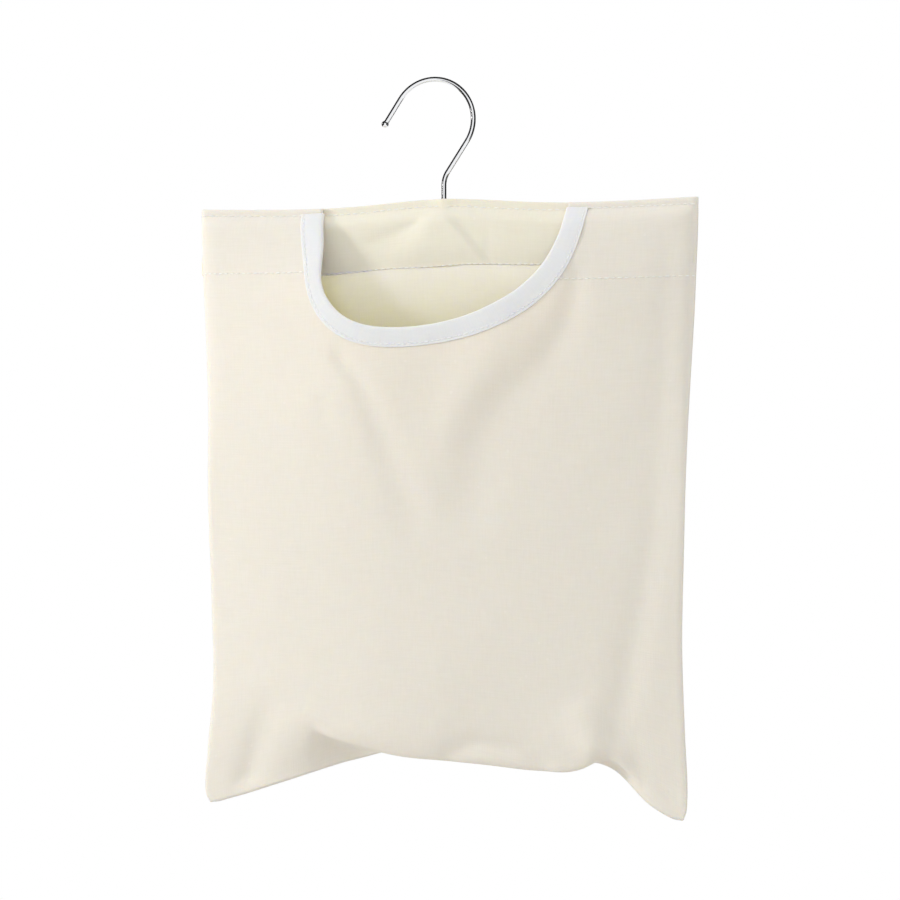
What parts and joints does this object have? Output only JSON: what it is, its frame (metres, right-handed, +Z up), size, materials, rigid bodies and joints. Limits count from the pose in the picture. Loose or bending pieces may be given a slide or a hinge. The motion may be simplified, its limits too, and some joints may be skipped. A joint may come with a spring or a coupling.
{
  "type": "peg bag",
  "caption": "Canvas peg bag with a scooped, tape-bound mouth, sewn round a hidden wooden bar and hung from a swivelling chrome wire hook.",
  "frame": {"origin": "where a rail bears inside the hook's arch, straight above the shank", "axes": "+Z up along the hook's shank, +X to the right seen from the front, -Y out of the front of the bag"},
  "size_m": [0.32, 0.0512, 0.4619],
  "materials": {
    "chrome_wire": "bright chromed wire",
    "plated_steel": "zinc plated steel",
    "beech": "sanded bare beech",
    "canvas": "undyed plain-weave cotton canvas",
    "binding_tape": "white cotton bias tape"
  },
  "bodies": {
    "hook": {"hook": "chrome_wire", "hook_washer": "plated_steel", "hook_nut": "plated_steel"},
    "bag": {"hanger_bar": "beech", "back_panel": "canvas", "back_facing": "canvas", "front_panel": "canvas", "front_facing_left": "canvas", "front_facing_right": "canvas", "mouth_binding": "binding_tape", "side_seam_left": "canvas", "side_seam_right": "canvas", "bottom_seam": "canvas"}
  },
  "joints": [
    {"name": "hook_swivel", "type": "hinge", "parent": "hook", "child": "bag", "pos_m": [0, 0, -0.0925], "axis": [0, 0, 1], "continuous": true}
  ]
}
